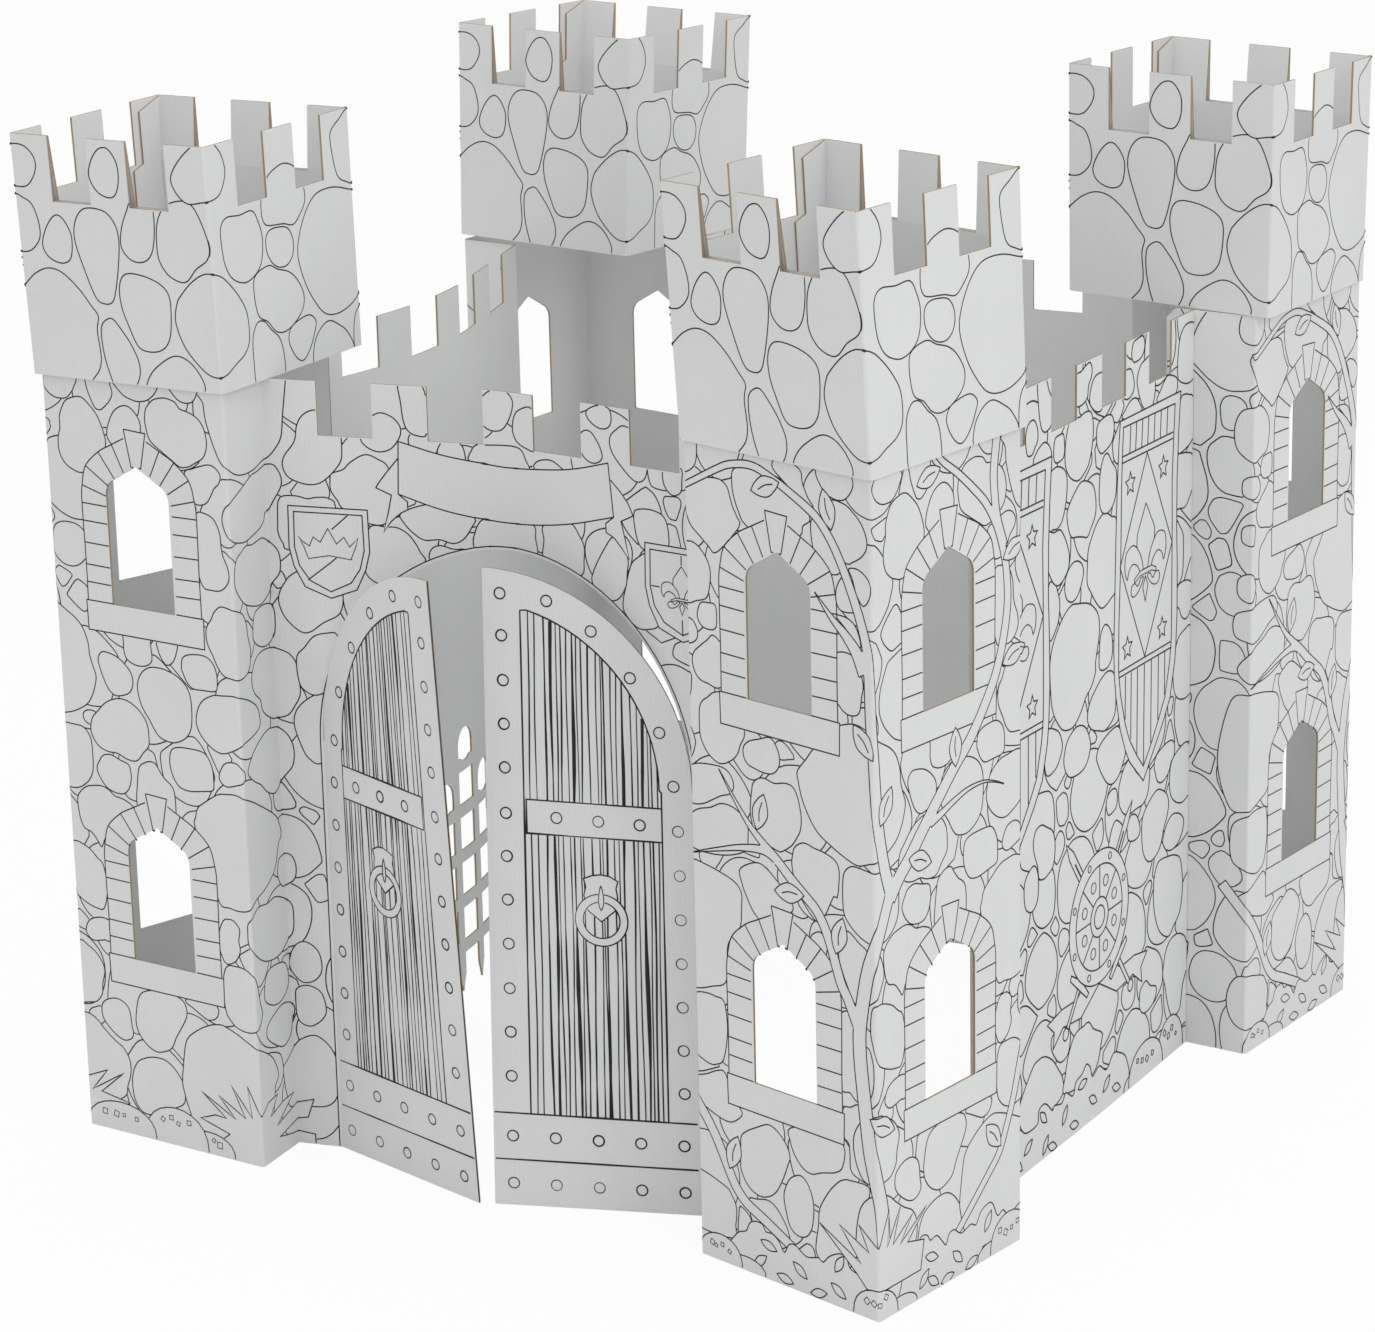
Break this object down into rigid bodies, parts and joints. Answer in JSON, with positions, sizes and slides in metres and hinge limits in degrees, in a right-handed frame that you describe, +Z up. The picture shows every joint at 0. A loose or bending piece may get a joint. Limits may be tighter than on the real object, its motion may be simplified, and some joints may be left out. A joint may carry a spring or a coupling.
{
  "type": "cardboard play castle",
  "caption": "Walk-in play castle of folded corrugated board: corner towers with arched windows and crenellated caps, crenellated walls, a doorway with ajar leaves and a barred gate.",
  "frame": {"origin": "centre of the footprint box, on the floor", "axes": "+Z up, doorway wall towards -Y, barred gate wall towards -X"},
  "size_m": [1.3904, 1.4326, 1.4493],
  "materials": {
    "front_wall_sheet": "matt white printed corrugated board with black line print",
    "rear_wall_sheet": "matt white printed corrugated board with black line print",
    "tower_cap_front_left": "matt white printed corrugated board with black line print",
    "tower_cap_front_right": "matt white printed corrugated board with black line print",
    "tower_cap_rear_right": "matt white printed corrugated board with black line print",
    "tower_cap_rear_left": "matt white printed corrugated board with black line print"
  },
  "bodies": {
    "root": {"front_wall_sheet": "front_wall_sheet", "rear_wall_sheet": "rear_wall_sheet", "tower_cap_front_left": "tower_cap_front_left", "tower_cap_front_right": "tower_cap_front_right", "tower_cap_rear_right": "tower_cap_rear_right", "tower_cap_rear_left": "tower_cap_rear_left"}
  },
  "joints": []
}
